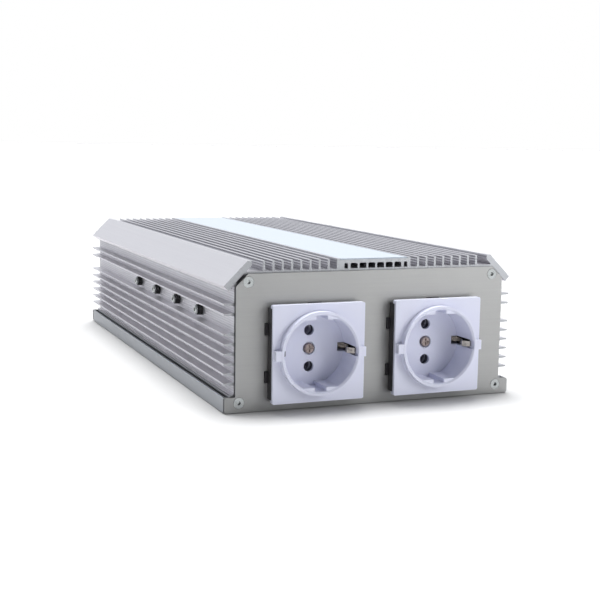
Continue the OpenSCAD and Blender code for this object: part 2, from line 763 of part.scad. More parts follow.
module board_screws() {
    color([0.8, 0.8, 0.82]) for (p = standoffs) translate(p) {
        hole(m3_r, floor_t + 1, board_top + 0.1);
        hole(m3_head_r, board_top, board_top + 2.2);
    }
}

core_w = 44;
core_d = 16;
core_h = 44;
core_leg = 7;
transformer_x = core_w / 2 + 6;
transformer_y = board_y1 - 56;
bobbin_z = board_top + 3;               // the windings' feet lift the core off the board

module transformer_core() {
    window_w = (core_w - 4 * core_leg) / 2;
    translate([0, 0, bobbin_z]) difference() {
        translate([-core_w / 2, -core_d / 2, 0]) cube([core_w, core_d, core_h]);
        both_sides() translate([core_leg, -core_d / 2 - 1, core_leg]) cube([window_w, core_d + 2, core_h - 2 * core_leg]);
    }
}

module transformer_winding() {
    gap = 0.4;
    coil_w = core_w - 2 * core_leg - 2 * gap;
    coil_h = core_h - 2 * core_leg - 2 * gap;
    coil_d = core_d + 14;
    foot_t = 4;
    translate([0, 0, bobbin_z + core_leg + gap]) difference() {
        linear_extrude(coil_h) rounded_square(coil_w, coil_d, 3);
        translate([0, 0, -1]) linear_extrude(coil_h + 2) square([2 * core_leg + 2 * gap, core_d + 2 * gap], center = true);
    }
    for (s = [-1, 1]) translate([-coil_w / 2, s * (core_d / 2 + 4.5) - foot_t / 2, board_top])
        cube([coil_w, foot_t, bobbin_z - board_top + core_leg + 1]);
}

module transformer_cores() {
    color([0.2, 0.2, 0.22]) for (s = [-1, 1]) translate([s * transformer_x, transformer_y, 0]) transformer_core();
}
module transformer_windings() {
    color([0.85, 0.7, 0.25]) for (s = [-1, 1]) translate([s * transformer_x, transformer_y, 0]) transformer_winding();
}

choke_r = 20;
choke_bore = 11;
choke_t = 14;
wire_t = 2;
choke_y = board_y0 + 36;

module choke_core() {
    color([0.8, 0.75, 0.3]) translate([0, choke_y, board_top + wire_t + 0.2]) difference() {
        cylinder(r = choke_r, h = choke_t);
        translate([0, 0, -1]) cylinder(r = choke_bore, h = choke_t + 2);
    }
}

// The enamelled wire covers two long arcs of the ring
module choke_winding() {
    gap = 0.2;
    ring = [choke_r - choke_bore + 2 * gap, choke_t + 2 * gap];
    color([0.7, 0.4, 0.2]) translate([0, choke_y, board_top]) for (a = [15, 195]) rotate([0, 0, a])
        rotate_extrude(angle = 150) difference() {
            translate([choke_bore - gap - wire_t, 0]) square(ring + [2 * wire_t, 2 * wire_t]);
            translate([choke_bore - gap, wire_t]) square(ring);
        }
}

input_can = [9, 35];                    // radius and height of the capacitors
input_pitch = 20;
bus_can = [15, 45];
bus_pitch = 40;

// A can with its sleeve rolled in around the top
module capacitor(can) {
    sleeve_edge = 1.5;
    hole(can[0], board_top, board_top + can[1] - sleeve_edge);
    hole(can[0] - 0.6, board_top + can[1] - sleeve_edge - 0.1, board_top + can[1]);
}

module input_capacitors() {
    color([0.15, 0.16, 0.3]) for (i = [-1.5 : 1.5]) translate([i * input_pitch, board_y1 - 22]) capacitor(input_can);
}

module bus_capacitors() {
    color([0.12, 0.12, 0.13]) for (i = [-0.5, 0.5]) translate([i * bus_pitch, board_y0 + 78]) capacitor(bus_can);
}

// Blade fuses stand along the board's edge
module fuses() {
    cap = [4.6, 19, 11];
    blade = [0.8, 5.2, 6];
    blade_pitch = 12.6;
    fuse_pitch = 7;
    color([0.85, 0.4, 0.1]) for (k = [0, 1]) translate([board_half - 4 - fuse_pitch * k, board_y1 - 28, board_top]) {
        translate([-cap.x / 2, -cap.y / 2, blade.z - 1]) cube(cap);
        for (s = [-0.5, 0.5]) translate([-blade.x / 2, s * blade_pitch - blade.y / 2, 0]) cube(blade);
    }
}

// ---- fan --------------------------------------------------------------

module fan_holes() {
    for (sx = [-1, 1], sy = [-1, 1]) translate([sx * fan_hole_pitch / 2, sy * fan_hole_pitch / 2]) children();
}

module fan_ring_profile() {
    difference() {
        rounded_square(fan_w, fan_w, 4);
        circle(fan_bore_r);
        fan_holes() circle(2.15);
    }
}

// Square frame with three struts that carry the hub plate and the bearing tube
module fan_frame() {
    strut_t = 2.5;
    strut_w = 4;
    tube_r = 4;
    color([0.1, 0.1, 0.11]) on_rear(fan_x, fan_z) difference() {
        union() {
            translate([0, 0, fan_back]) linear_extrude(fan_d) fan_ring_profile();
            translate([0, 0, fan_back]) linear_extrude(strut_t) {
                circle(hub_r);
                for (a = [30, 150, 270]) rotate(a) translate([0, -strut_w / 2]) square([fan_bore_r + 0.8, strut_w]);
            }
            hole(tube_r, fan_back + 0.5, fan_back + 9);
        }
        hole(shaft_r + thread_gap, fan_back + 1, fan_back + 10);
    }
}

module fan_rotor() {
    low = fan_back + 3.5;
    high = -panel_t - 0.8;
    blade_t = 1.2;
    blade_chord = 24;
    blade_angle = 48;
    color([0.14, 0.14, 0.15]) on_rear(fan_x, fan_z) {
        difference() {
            hole(hub_r, low, high);
            difference() {
                hole(hub_r - 1.4, low - 1, high - 1.6);
                hole(3.2, fan_back + 9.8, high);
            }
            hole(shaft_r, low - 1, high - 0.6);
        }
        for (k = [0 : blade_n - 1]) rotate([0, 0, k * 360 / blade_n]) intersection() {
            difference() {
                hole(blade_r, low + 0.5, high - 0.5);
                hole(hub_r - 0.3, low - 1, high + 1);
            }
            translate([hub_r - 1, 0, (low + high) / 2]) rotate([blade_angle, 0, 0])
                translate([0, -blade_chord / 2, -blade_t / 2]) cube([blade_r, blade_chord, blade_t]);
        }
    }
}

module fan_shaft() {
    color([0.8, 0.8, 0.82]) on_rear(fan_x, fan_z) hole(shaft_r, fan_back + 1.2, -panel_t - 1.5);
}

// Chromed wire guard: rings on two crossed bars that end in screw eyes
module fan_guard() {
    wire = 0.8;
    eye_t = 1.6;
    eye_r = 3.6;
    rings = [8, 15, 22, 29];
    reach = fan_hole_pitch / sqrt(2);
    color([0.78, 0.78, 0.8]) on_rear(fan_x, fan_z) {
        for (r = rings) translate([0, 0, eye_t + wire - 0.3]) rotate_extrude() translate([r, 0]) circle(wire, $fn = 24);
        difference() {
            union() {
                for (a = [45, 135]) rotate([0, 0, a]) translate([-reach, 0, wire]) rotate([0, 90, 0])
                    cylinder(r = wire, h = 2 * reach, $fn = 24);
                fan_holes() hole(eye_r, 0, eye_t);
            }
            fan_holes() hole(2.2, -1, eye_t + 2);
        }
    }
}

module fan_screws() {
    color([0.78, 0.78, 0.8]) on_rear(fan_x, fan_z) fan_holes() difference() {
        union() {
            hole(2, fan_back + 3, 1.7);
            hole(3.6, 1.6, 3.8);
        }
        for (a = [0, 90]) rotate([0, 0, a]) translate([0, 0, 3.8]) cube([4.4, 0.9, 2], center = true);
    }
}

// ---- rear panel fittings ----------------------------------------------

module terminal_base() {
    difference() {
        union() {
            linear_extrude(base_t) rounded_square(terminal_w, terminal_w, 2.5);
            hole(stud_r + 4.5, base_t - 0.1, base_t + boss_h);
            hole(stud_r + bush_t, -bush_in, 0.1);
        }
        hole(stud_r + thread_gap, -bush_in - 1, base_t + boss_h + 1);
    }
}

module terminal_stud() {
    threaded_end(stud_r, -bush_in - stud_flange - lug_t - nut_t - 1.5, base_t + boss_h + nut_t, stud_out);
    translate([0, 0, -bush_in - stud_flange]) hex(stud_r * 2, stud_flange);
}

// Stud with a neck past its nut and a chamfered free end
module threaded_end(r, from, nut_end, to) {
    hole(r, from, nut_end);
    hole(r - 0.4, nut_end - 0.1, nut_end + undercut + 0.1);
    hole(r, nut_end + undercut, to - stud_tip);
    translate([0, 0, to - stud_tip]) cylinder(r1 = r, r2 = r - 0.8 * stud_tip, h = stud_tip);
}

module flange_nut(r, t) {
    difference() {
        union() {
            hex(r * 1.9, t);
            cylinder(r = r * 2.1, h = 1.2);
        }
        hole(r + thread_gap, -1, t + 1);
    }
}

module positive_terminal_base() { color([0.75, 0.1, 0.08]) on_rear(terminal_xs[0], terminal_z) terminal_base(); }
module negative_terminal_base() { color([0.08, 0.08, 0.09]) on_rear(terminal_xs[1], terminal_z) terminal_base(); }
module positive_stud() { color([0.82, 0.7, 0.4]) on_rear(terminal_xs[0], terminal_z) terminal_stud(); }
module negative_stud() { color([0.82, 0.7, 0.4]) on_rear(terminal_xs[1], terminal_z) terminal_stud(); }

module terminal_nuts() {
    color([0.8, 0.8, 0.82]) for (x = terminal_xs) on_rear(x, terminal_z) {
        translate([0, 0, base_t + boss_h]) flange_nut(stud_r, nut_t);
        translate([0, 0, -bush_in - stud_flange - lug_t]) rotate([180, 0, 0]) flange_nut(stud_r, nut_t);
    }
}

module earth_stud() {
    color([0.8, 0.8, 0.82]) on_rear(switch_x, earth_z) {
        threaded_end(earth_r, -panel_t - earth_head_t, earth_nut_t, earth_out);
        translate([0, 0, -panel_t - earth_head_t]) hex(4.6, earth_head_t);
    }
}

module earth_nut() { color([0.8, 0.8, 0.82]) on_rear(switch_x, earth_z) flange_nut(earth_r, earth_nut_t); }

module switch_housing() {
    bezel_t = 1.8;
    depth = 15;
    recess = 6.6;
    color([0.07, 0.07, 0.08]) on_rear(switch_x, switch_z) difference() {
        union() {
            linear_extrude(bezel_t) rounded_square(switch_w + 2, switch_l + 2, 1.5);
            translate([0, 0, -depth]) linear_extrude(depth + 0.1) square([switch_w, switch_l], center = true);
        }
        translate([0, 0, -recess]) linear_extrude(recess + 4) square([rocker_w + 0.4, switch_l - 1.6], center = true);
        translate([0, 0, pivot_w]) rotate([0, 90, 0]) cylinder(r = pivot_r + 0.06, h = rocker_w + 1.6, center = true);
    }
}

module switch_rocker() {
    color([0.7, 0.1, 0.08]) on_rear(switch_x, switch_z) translate([0, 0, pivot_w]) rotate([switch_tilt, 0, 0]) {
        end = rocker_l / 2;
        face = 4.1;                     // ends of the dished face, above the pivot
        dish = 2.9;
        rotate([90, 0, 90]) linear_extrude(rocker_w, center = true) polygon([[-end, -1.5], [-end, face], [0, dish],
            [end, face], [end, -1.5], [0, -3]]);
        rotate([0, 90, 0]) cylinder(r = pivot_r, h = rocker_w + 1.4, center = true);
    }
}

module indicator_lens() {
    proud = 0.8;                        // straight part in front of the panel
    hole(lens_r + 1, -panel_t - 1.5, -panel_t);
    hole(lens_r, -panel_t - 0.1, proud);
    translate([0, 0, proud]) intersection() {
        sphere(lens_r);
        hole(lens_r + 1, 0, lens_r + 1);
    }
}

module power_lens() { color([0.1, 0.7, 0.2]) on_rear(lens_x, switch_z + lens_up) indicator_lens(); }
module fault_lens() { color([0.8, 0.1, 0.1]) on_rear(lens_x, switch_z - lens_up) indicator_lens(); }

// ---- leads ------------------------------------------------------------

lug_y = panel_y - bush_in - stud_flange - lug_t;    // inner face of a ring lug
barrel_z = terminal_z - 10;
dc_lead_r = 2.5;
small_lead_r = 1.2;
solder_gap = 0.2;                       // leads end just above the board

// Bent ring lug on the stud, then a short cable to the board
module battery_lead(x) {
    ring_r = 6.5;
    strap_w = 8;
    barrel_r = 3.2;
    barrel_l = 8;
    barrel_y = lug_y - barrel_l;
    end_z = board_top + dc_lead_r + 0.1;
    translate([x, 0, 0]) {
        difference() {
            union() {
                translate([0, lug_y + lug_t, terminal_z]) rotate([90, 0, 0]) cylinder(r = ring_r, h = lug_t);
                translate([-strap_w / 2, lug_y, barrel_z]) cube([strap_w, lug_t, terminal_z - barrel_z]);
                translate([0, lug_y + lug_t, barrel_z]) rotate([90, 0, 0]) cylinder(r = barrel_r, h = lug_t + barrel_l);
            }
            translate([0, lug_y + lug_t + 1, terminal_z]) rotate([90, 0, 0]) cylinder(r = stud_r + 0.1, h = lug_t + 2);
        }
        lead([[0, barrel_y + 0.5, barrel_z], [0, barrel_y - 4, barrel_z - 0.6], [0, barrel_y - 9, end_z + 2],
            [0, barrel_y - 14, end_z + 0.1], [0, barrel_y - 18, end_z]], dc_lead_r);
    }
}

module positive_lead() { color([0.75, 0.08, 0.06]) battery_lead(terminal_xs[0]); }
module negative_lead() { color([0.08, 0.08, 0.08]) battery_lead(terminal_xs[1]); }

contact_y = -panel_y - contact_back;
clip_y = -panel_y - clip_back;
insert_y = -panel_y - insert_back;

module socket_lead(x, z, from_y, down_y) {
    lead([[x, from_y, z], [x, insert_y, z], [x, insert_y + 5, z - 1], [x, down_y - 3, z - 5],
        [x, down_y, board_top + 4], [x, down_y, board_top + solder_gap]], small_lead_r, 8);
}

module live_leads() {
    color([0.4, 0.22, 0.1]) for (s = [-1, 1]) socket_lead(s * socket_x, socket_z + pin_offset, contact_y, insert_y + 20);
}
module neutral_leads() {
    color([0.1, 0.25, 0.6]) for (s = [-1, 1]) socket_lead(s * socket_x, socket_z - pin_offset, contact_y, insert_y + 14);
}
module earth_leads() {
    color([0.4, 0.6, 0.15]) for (s = [-1, 1]) socket_lead(s * (socket_x - clip_tail), socket_z, clip_y, insert_y + 17);
}

module fan_lead() {
    x = fan_x - fan_w / 2 + 6;
    y = panel_y + fan_back;
    color([0.1, 0.1, 0.1]) lead([[x, y, 14], [x, y - 5, 14], [x, y - 10, 12.5], [x, y - 15, board_top + 1.6],
        [x, y - 20, board_top + 1.3]], small_lead_r, 8);
}

// ---- assembly ---------------------------------------------------------

heat_sink_shell();
base_tray();
roof_plate();
front_panel();
rear_panel();
panel_screws();
left_socket_cover();
left_socket_frame();
left_socket_insert();
left_earth_clip();
left_live_contact();
left_neutral_contact();
left_socket_screw();
right_socket_cover();
right_socket_frame();
right_socket_insert();
right_earth_clip();
right_live_contact();
right_neutral_contact();
right_socket_screw();
left_heat_bar();
right_heat_bar();
bar_screws();
bar_washers();
left_transistors();
right_transistors();
transistor_screws();
main_board();
board_standoffs();
board_screws();
transformer_cores();
transformer_windings();
choke_core();
choke_winding();
input_capacitors();
bus_capacitors();
fuses();
fan_frame();
fan_rotor();
fan_shaft();
fan_guard();
fan_screws();
positive_terminal_base();
negative_terminal_base();
positive_stud();
negative_stud();
terminal_nuts();
earth_stud();
earth_nut();
switch_housing();
switch_rocker();
power_lens();
fault_lens();
positive_lead();
negative_lead();
live_leads();
neutral_leads();
earth_leads();
fan_lead();
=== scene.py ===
import json
import math

import bpy
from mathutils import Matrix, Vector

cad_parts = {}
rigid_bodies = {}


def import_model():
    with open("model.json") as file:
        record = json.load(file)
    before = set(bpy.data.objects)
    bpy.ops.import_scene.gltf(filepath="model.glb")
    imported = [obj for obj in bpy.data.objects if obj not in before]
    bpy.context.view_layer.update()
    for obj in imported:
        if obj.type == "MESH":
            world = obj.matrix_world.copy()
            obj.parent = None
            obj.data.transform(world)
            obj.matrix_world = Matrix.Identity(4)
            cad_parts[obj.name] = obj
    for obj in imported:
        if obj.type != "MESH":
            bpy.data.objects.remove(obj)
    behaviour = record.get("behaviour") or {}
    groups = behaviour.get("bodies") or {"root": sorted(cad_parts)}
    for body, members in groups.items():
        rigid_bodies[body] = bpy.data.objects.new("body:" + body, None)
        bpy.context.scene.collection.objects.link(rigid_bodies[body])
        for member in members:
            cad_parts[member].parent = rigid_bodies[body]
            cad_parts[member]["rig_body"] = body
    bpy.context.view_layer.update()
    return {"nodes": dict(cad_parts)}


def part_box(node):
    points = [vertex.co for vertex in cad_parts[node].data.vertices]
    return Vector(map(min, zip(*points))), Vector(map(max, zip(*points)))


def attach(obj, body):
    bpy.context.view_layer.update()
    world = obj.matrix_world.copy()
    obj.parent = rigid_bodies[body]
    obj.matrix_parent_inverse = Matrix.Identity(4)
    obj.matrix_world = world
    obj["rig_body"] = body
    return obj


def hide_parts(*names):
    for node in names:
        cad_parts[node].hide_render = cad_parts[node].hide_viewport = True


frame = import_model()
nodes = frame["nodes"]
print("loaded", len(nodes), "nodes of the inverter")


# camera, floor and studio light

shot = {"place": (-0.2553, -0.6832, 0.1345), "turn": (82.106, -0.869, -21.965), "lens": 68.4, "sensor": 36}

studio = {
    "floorSize": 60,
    "floorDrop": 0.0003,  # keeps the floor clear of the tray's underside
    "floorColour": (0.57, 0.57, 0.57),
    "floorSpeck": (0.60, 0.60, 0.605),
    "backdrop": (1.0, 1.0, 1.0),
    "skyColour": (0.94, 0.965, 1.0),
    # soft light that is strongest low down, to the right and behind
    "skyLevel": 0.70, "skyToRight": 0.20, "skyToBack": 0.52, "skyFade": 0.35,
    "overhead": {"turn": (-14, 2, 0), "power": 4.7, "spread": 28},
    # name, place, aimed at, side, power
    "softboxes": [
        ("rightSoftbox", (0.42, -0.62, 0.28), (0.0, -0.16, 0.04), 0.3, 1.7),
    ],
}


def makeCamera():
    turn = [math.radians(angle) for angle in shot["turn"]]
    bpy.ops.object.camera_add(location=shot["place"], rotation=turn)
    camera = bpy.context.object
    camera.data.lens = shot["lens"]
    camera.data.sensor_width = shot["sensor"]
    bpy.context.scene.camera = camera


def makeSky():
    sky = bpy.data.worlds.new("studioSky")
    sky.use_nodes = True
    tree = sky.node_tree
    light, output = tree.nodes["Background"], tree.nodes["World Output"]
    light.inputs["Color"].default_value = (*studio["skyColour"], 1)
    aim = tree.nodes.new("ShaderNodeTexCoord")
    slope = tree.nodes.new("ShaderNodeVectorMath")
    slope.operation = "DOT_PRODUCT"
    slope.inputs[1].default_value = (studio["skyToRight"], studio["skyToBack"], 0)
    level = tree.nodes.new("ShaderNodeMath")
    level.inputs[1].default_value = studio["skyLevel"]
    tree.links.new(aim.outputs["Generated"], slope.inputs[0])
    tree.links.new(slope.outputs["Value"], level.inputs[0])
    height = tree.nodes.new("ShaderNodeSeparateXYZ")
    fade = tree.nodes.new("ShaderNodeMapRange")
    fade.inputs["To Min"].default_value = 1
    fade.inputs["To Max"].default_value = 1 - studio["skyFade"]
    both = tree.nodes.new("ShaderNodeMath")
    both.operation = "MULTIPLY"
    tree.links.new(aim.outputs["Generated"], height.inputs[0])
    tree.links.new(height.outputs["Z"], fade.inputs["Value"])
    tree.links.new(level.outputs[0], both.inputs[0])
    tree.links.new(fade.outputs[0], both.inputs[1])
    tree.links.new(both.outputs[0], light.inputs["Strength"])
    backdrop = tree.nodes.new("ShaderNodeBackground")  # what is seen behind the floor
    backdrop.inputs["Color"].default_value = (*studio["backdrop"], 1)
    seen = tree.nodes.new("ShaderNodeLightPath")
    either = tree.nodes.new("ShaderNodeMixShader")
    tree.links.new(seen.outputs["Is Camera Ray"], either.inputs[0])
    tree.links.new(light.outputs[0], either.inputs[1])
    tree.links.new(backdrop.outputs[0], either.inputs[2])
    tree.links.new(either.outputs[0], output.inputs["Surface"])
    bpy.context.scene.world = sky


def makeStudio():
    bpy.context.scene.view_settings.view_transform = "Standard"
    makeSky()
    turn = [math.radians(angle) for angle in studio["overhead"]["turn"]]
    bpy.ops.object.light_add(type="SUN", rotation=turn)
    overhead = bpy.context.object
    overhead.name = "overheadSoftbox"
    overhead.data.energy = studio["overhead"]["power"]
    overhead.data.angle = math.radians(studio["overhead"]["spread"])
    overhead.visible_glossy = False  # the metal mirrors the sky and the floor, not this lamp
    for name, place, aim, side, power in studio["softboxes"]:
        bpy.ops.object.light_add(type="AREA", location=place)
        lamp = bpy.context.object
        lamp.name = name
        lamp.data.size = side
        lamp.data.energy = power
        away = lamp.location - type(lamp.location)(aim)
        lamp.rotation_euler = away.to_track_quat("Z", "Y").to_euler()
    bpy.ops.mesh.primitive_plane_add(size=studio["floorSize"], location=(0, 0, -studio["floorDrop"]))
    floor = bpy.context.object
    floor.name = "studioFloor"
    return floor


makeCamera()
floor = makeStudio()
print("camera and studio light are set")


# shader maths as plain arithmetic

class Wire:
    def __init__(self, finish, socket):
        self.finish, self.socket = finish, socket

    def math(self, operation, first, second=0.0):
        return self.finish.node("ShaderNodeMath", {"operation": operation}, {0: first, 1: second})

    def __add__(self, other):
        return self.math("ADD", self, other)

    def __sub__(self, other):
        return self.math("SUBTRACT", self, other)

    def __rsub__(self, other):
        return self.math("SUBTRACT", other, self)

    def __mul__(self, other):
        return self.math("MULTIPLY", self, other)

    def __lt__(self, other):
        return self.math("LESS_THAN", self, other)

    def __abs__(self):
        return self.math("ABSOLUTE", self)


class Finish:
    def __init__(self, name, **fixed):
        self.material = bpy.data.materials.new(name)
        self.material.use_nodes = True
        self.tree = self.material.node_tree
        self.shader = self.tree.nodes["Principled BSDF"]
        self.set(**fixed)

    def title(self, word):  # baseColor becomes Base Color, and so on
        if word == "ior":
            return "IOR"
        return "".join(" " + letter if letter.isupper() else letter for letter in word).title()

    def feed(self, socket, value):
        if isinstance(value, Wire):
            self.tree.links.new(value.socket, socket)
        elif socket.type == "RGBA" and len(value) == 3:
            socket.default_value = (*value, 1)
        else:
            socket.default_value = value

    def node(self, kind, settings=None, values=None, output=0):
        made = self.tree.nodes.new(kind)
        for name, value in (settings or {}).items():
            setattr(made, name, value)
        for name, value in (values or {}).items():
            self.feed(made.inputs[name], value)
        return Wire(self, made.outputs[output])

    def place(self, stretch=(1, 1, 1), turn=(0, 0, 0)):
        spot = self.node("ShaderNodeTexCoord", output="Object")
        return self.node("ShaderNodeMapping", None, {"Vector": spot, "Scale": stretch, "Rotation": turn})

    def axes(self, vector):
        return [self.node("ShaderNodeSeparateXYZ", None, {"Vector": vector}, k) for k in range(3)]

    def facing(self):
        return self.axes(self.node("ShaderNodeTexCoord", output="Normal"))

    def grain(self, place, size, detail=2.0, rough=0.5):
        values = {"Vector": place, "Scale": size, "Detail": detail, "Roughness": rough}
        return self.node("ShaderNodeTexNoise", None, values)

    def between(self, mask, low, high):
        return self.node("ShaderNodeMapRange", None, {"Value": mask, "To Min": low, "To Max": high})

    def step(self, value, start, end):
        return self.node("ShaderNodeMapRange", {"interpolation_type": "SMOOTHSTEP"},
                         {"Value": value, "From Min": start, "From Max": end})

    def mix(self, mask, first, second):
        return self.node("ShaderNodeMix", {"data_type": "RGBA"}, {0: mask, 6: first, 7: second}, 2)

    def sine(self, value):
        return self.node("ShaderNodeMath", {"operation": "SINE"}, {0: value})

    def bump(self, height, distance):
        relief = self.node("ShaderNodeBump", None, {"Height": height, "Distance": distance, "Strength": 1})
        self.feed(self.shader.inputs["Normal"], relief)

    def set(self, **changes):
        for socket, value in changes.items():
            self.feed(self.shader.inputs[self.title(socket)], value)
        return self.material


# finishes

aluminium = {
    "caseLight": (0.88, 0.865, 0.895), "caseDark": (0.78, 0.765, 0.80),
    # the groove tone is painted shade, laid into the serration grooves and over the walls between the fins
    "paintedGrooveShade": (0.34, 0.34, 0.38), "sawnEnds": (0.40, 0.41, 0.43),
    "trayLight": (0.42, 0.435, 0.46), "trayDark": (0.35, 0.365, 0.39),
    "barLight": (0.78, 0.78, 0.78), "barDark": (0.66, 0.66, 0.67),
    "drawLines": 700, "cloudSize": 24, "dustSize": 2200,
    # fine serrations of the upright walls, and how much painted shade darkens those walls between the fins
    "ripplePitch": 0.00125, "wallShade": 0.50,
    "reliefDepth": 0.00009, "satin": (0.40, 0.52),
}

sheet = {
    # the edge tone is painted shade on the sheet's side faces, standing in for the shadow gap against the case
    "light": (0.39, 0.39, 0.385), "dark": (0.335, 0.337, 0.338), "edge": (0.07, 0.07, 0.075),
    "blastSize": 2600, "brushSize": 1500, "cloudSize": 30, "reliefDepth": 0.00003, "satin": (0.40, 0.52),
}


def extrudedFinish(name, light, dark, ripples):
    # satin anodised metal with draw lines along the case and sawn ends; the upright walls get painted shade in the
    # serration grooves and between the fins
    metal = Finish(name, metallic=1.0)
    x, y, _ = metal.facing()
    lines = metal.grain(metal.place((1, 0.012, 1)), aluminium["drawLines"], 3, 0.6)
    cloud = metal.grain(metal.place((1, 0.3, 1)), aluminium["cloudSize"], 3)
    dust = metal.grain(metal.place(), aluminium["dustSize"], 1)
    colour = metal.mix(lines * 0.7 + cloud * 0.3, dark, light)
    height = lines * 0.35 + dust * 0.25
    if ripples:  # serrations rolled into the upright walls only
        up = metal.axes(metal.place())[2]
        upright = metal.step(abs(x), 0.9, 0.99)
        wave = metal.sine(up * (2 * math.pi / aluminium["ripplePitch"])) * upright
        height = height + wave * 0.6
        # painted shade: darker colour in the bottom of each serration groove
        colour = metal.mix((0 - wave) * 0.5, colour, aluminium["paintedGrooveShade"])
        # painted shade: the upright walls between the fins darkened as a whole
        colour = metal.mix(upright * aluminium["wallShade"], colour, aluminium["paintedGrooveShade"])
    colour = metal.mix(metal.step(abs(y), 0.9, 0.99), colour, aluminium["sawnEnds"])
    metal.bump(height, aluminium["reliefDepth"])
    return metal.set(baseColor=colour, roughness=metal.between(lines * 0.5 + cloud * 0.5, *aluminium["satin"]))


def panelFinish(name):
    # bead-blasted, clear anodised sheet, with painted shade on its side faces for the shadow gap against the case
    metal = Finish(name, metallic=1.0)
    fine = metal.grain(metal.place(), sheet["blastSize"], 2)
    brushed = metal.grain(metal.place((0.02, 1, 1)), sheet["brushSize"], 2)
    cloud = metal.grain(metal.place(), sheet["cloudSize"], 3)
    paintedShadeSides = metal.step(abs(metal.facing()[0]), 0.6, 0.9)
    metal.bump(fine * 0.7 + brushed * 0.3, sheet["reliefDepth"])
    colour = metal.mix(cloud * 0.5 + brushed * 0.5, sheet["dark"], sheet["light"])
    # painted shade: the side faces of the sheet turn near black
    colour = metal.mix(paintedShadeSides, colour, sheet["edge"])
    return metal.set(baseColor=colour, roughness=metal.between(cloud * 0.4 + fine * 0.6, *sheet["satin"]))


def filmFinish(name):
    # plain pale plate under a clear satin film
    film = Finish(name, coatWeight=0.25, coatRoughness=0.15)
    cloud = film.grain(film.place((1, 0.2, 1)), 40, 3)
    film.bump(film.grain(film.place(), 900, 2), 0.00002)
    return film.set(baseColor=film.mix(cloud, (0.33, 0.385, 0.45), (0.37, 0.42, 0.48)),
                    roughness=film.between(cloud, 0.28, 0.38))


def mouldedFinish(name, light, dark, low, high, texture=0.00002):
    # moulded plastic: a slight cloud in colour and a fine spark-eroded grain
    plastic = Finish(name)
    cloud = plastic.grain(plastic.place(), 60, 3)
    fine = plastic.grain(plastic.place(), 2400, 2)
    plastic.bump(fine, texture)
    return plastic.set(baseColor=plastic.mix(cloud, dark, light),
                       roughness=plastic.between(fine * 0.5 + cloud * 0.5, low, high))


def turnedFinish(name, light, dark, low, high, dull=0.25, metallic=1.0):
    # plated or turned metal: fine scratches, and dull spots that gather in patches
    metal = Finish(name, metallic=metallic)
    scratch = metal.grain(metal.place((1, 6, 6), (0.4, 0.2, 0.7)), 900, 3, 0.6)
    patch = metal.step(metal.grain(metal.place(), 420, 4), 0.5, 0.75)
    metal.bump(scratch * 0.5 + patch * 0.3, 0.00003)
    return metal.set(baseColor=metal.mix(patch * dull + scratch * 0.4, light, dark),
                     roughness=metal.between(patch * 0.6 + scratch * 0.4, low, high))


def boardFinish(name):
    # solder resist over copper tracks, with rows of tinned pads
    board = Finish(name)
    spot = board.place()
    layout = {"Vector": spot, "Scale": 160, "Mortar Size": 0.05, "Brick Width": 1.4, "Row Height": 0.45,
              "Color1": (1, 1, 1), "Color2": (0.7, 0.7, 0.7), "Mortar": (0, 0, 0)}
    tracks = board.node("ShaderNodeTexBrick", {"offset": 0.37}, layout, "Color")
    spread = {"Vector": spot, "Scale": 180, "Randomness": 0.3}
    pads = board.node("ShaderNodeTexVoronoi", {"distance": "CHEBYCHEV"}, spread, "Distance")
    tinned = pads < 0.16
    board.bump(tracks, 0.00004)
    colour = board.mix(tracks, (0.008, 0.075, 0.03), (0.015, 0.13, 0.05))
    return board.set(baseColor=board.mix(tinned, colour, (0.72, 0.72, 0.70)),
                     metallic=tinned * 0.9, roughness=board.between(tinned, 0.42, 0.3))


def windingFinish(name, light, dark, turns):
    # wire wound edge to edge around the choke's core
    coil = Finish(name)
    low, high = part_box("choke_core")
    centre = (low + high) / 2
    x, y, _ = coil.axes(coil.place())
    angle = coil.node("ShaderNodeMath", {"operation": "ARCTAN2"}, {0: y - centre[1], 1: x - centre[0]})
    wave = coil.sine(angle * turns) * 0.5 + 0.5
    coil.bump(wave, 0.0006)
    return coil.set(baseColor=coil.mix(wave, dark, light), roughness=coil.between(wave, 0.45, 0.25), metallic=0.6)


def tapeFinish(name, light, dark, lapsPerMetre):
    # polyester tape over the windings, with overlapping edges
    tape = Finish(name, coatWeight=0.4)
    up = tape.axes(tape.place())[2]
    edge = tape.node("ShaderNodeMath", {"operation": "FRACT"}, {0: up * lapsPerMetre})
    lap = tape.step(edge, 0.0, 0.1)
    cloud = tape.grain(tape.place(), 90, 3)
    tape.bump(lap + cloud * 0.2, 0.00015)
    return tape.set(baseColor=tape.mix(lap * 0.6 + cloud * 0.4, dark, light),
                    roughness=tape.between(cloud, 0.25, 0.4))


def sleevedFinish(name, sleeve, stripe):
    # capacitor in a shrink sleeve with one pale stripe and a bare top
    can = Finish(name, coatWeight=0.3)
    x, _, z = can.facing()
    top = can.step(z, 0.8, 0.95)
    cloud = can.grain(can.place(), 300, 3)
    band = can.step(x, 0.9, 0.92)
    can.bump(cloud, 0.00003)
    colour = can.mix(band, sleeve, stripe)
    return can.set(baseColor=can.mix(top, colour, (0.75, 0.75, 0.76)),
                   metallic=top, roughness=can.between(cloud, 0.28, 0.4))


def lensFinish(name, colour, dark):
    # tinted diffusing lens
    lens = Finish(name, coatWeight=1.0, coatRoughness=0.05, ior=1.49)
    rings = lens.grain(lens.place(), 1500, 1)
    lens.bump(rings, 0.00004)
    return lens.set(baseColor=lens.mix(rings, dark, colour), roughness=lens.between(rings, 0.12, 0.25))


